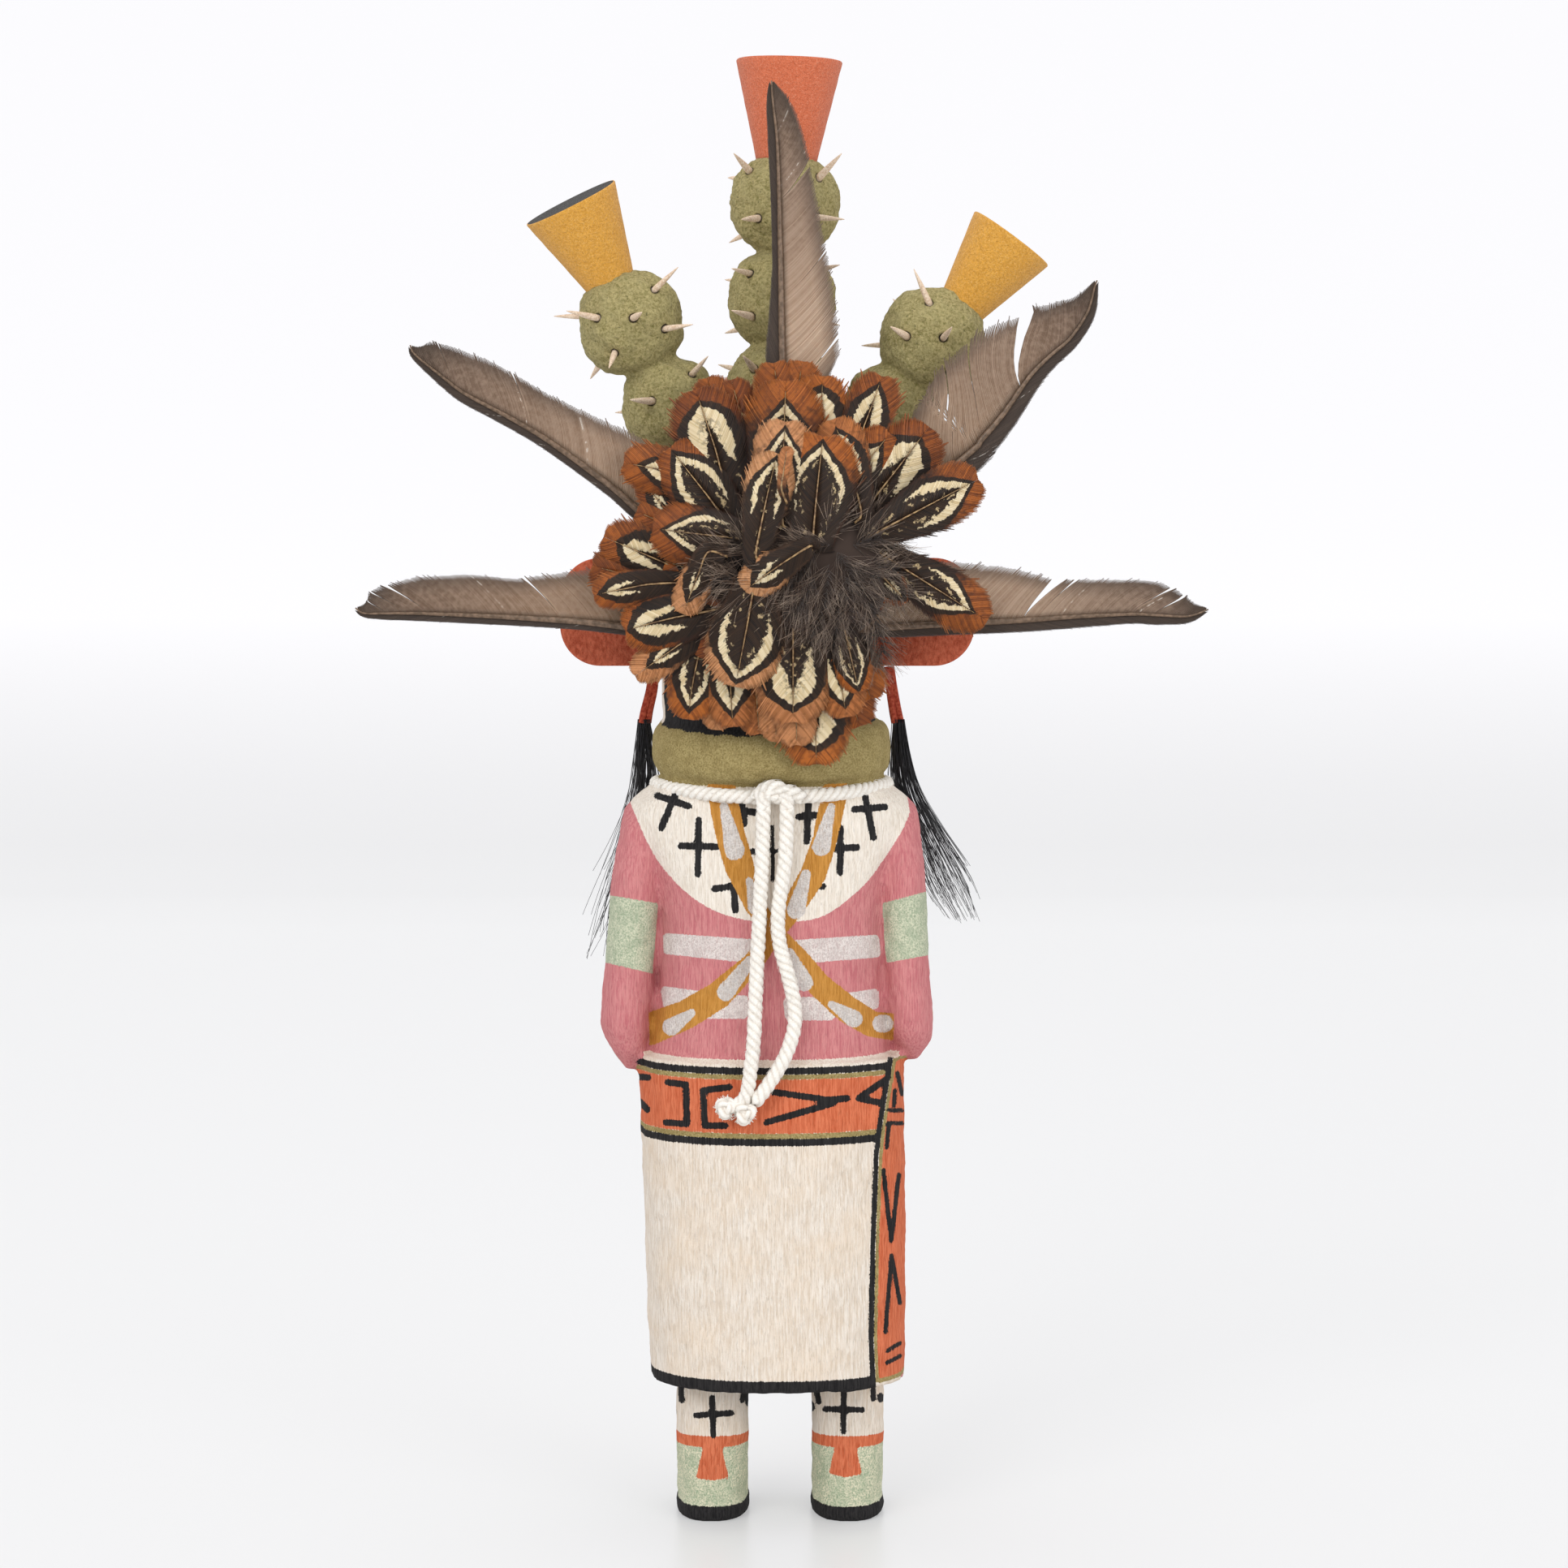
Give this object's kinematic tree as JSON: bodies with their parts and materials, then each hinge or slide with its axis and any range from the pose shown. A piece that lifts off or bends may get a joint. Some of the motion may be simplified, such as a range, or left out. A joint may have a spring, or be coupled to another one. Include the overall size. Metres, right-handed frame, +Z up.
{
  "type": "carved kachina doll",
  "caption": "Standing carved doll in a kilt, with a crown of cactus stems, ear boards, a fan of wing feathers, a bunch of pheasant feathers and a knotted neck cord.",
  "frame": {"origin": "on the ground, under the middle of the doll with its feathers and without the cord's free ends", "axes": "+Z up, +Y the way the doll faces, +X towards its right hand"},
  "size_m": [0.227, 0.0876, 0.4002],
  "materials": {
    "figure_paint": "matte mineral paint on bare carved cottonwood root",
    "ear_paint": "matte brick red paint on wood",
    "cactus_paint": "matte green paint with sand in it",
    "ochre_paint": "matte ochre paint with sand in it",
    "orange_paint": "matte orange paint on wood",
    "wing_feather": "brown wing feather vane",
    "pheasant_feather": "rust, black and cream barred body feathers",
    "cotton_cord": "twisted white cotton",
    "thong_leather": "red stained soft leather",
    "horsehair": "black horsehair"
  },
  "bodies": {
    "root": {"figure": "figure_paint", "ear_left": "ear_paint", "ear_right": "ear_paint", "cactus_left": "cactus_paint", "cactus_center": "cactus_paint", "cactus_right": "cactus_paint", "blossom_left": "ochre_paint", "blossom_center": "orange_paint", "blossom_right": "ochre_paint", "feather_left": "wing_feather", "feather_upper_left": "wing_feather", "feather_top": "wing_feather", "feather_upper_right": "wing_feather", "feather_right": "wing_feather", "feather_rosette": "pheasant_feather", "neck_cord": "cotton_cord", "cord_end_left": "cotton_cord", "cord_end_right": "cotton_cord", "end_knot_left": "cotton_cord", "end_knot_right": "cotton_cord", "ear_thong_left": "thong_leather", "ear_thong_right": "thong_leather", "hair_left": "horsehair", "hair_right": "horsehair"}
  },
  "joints": []
}
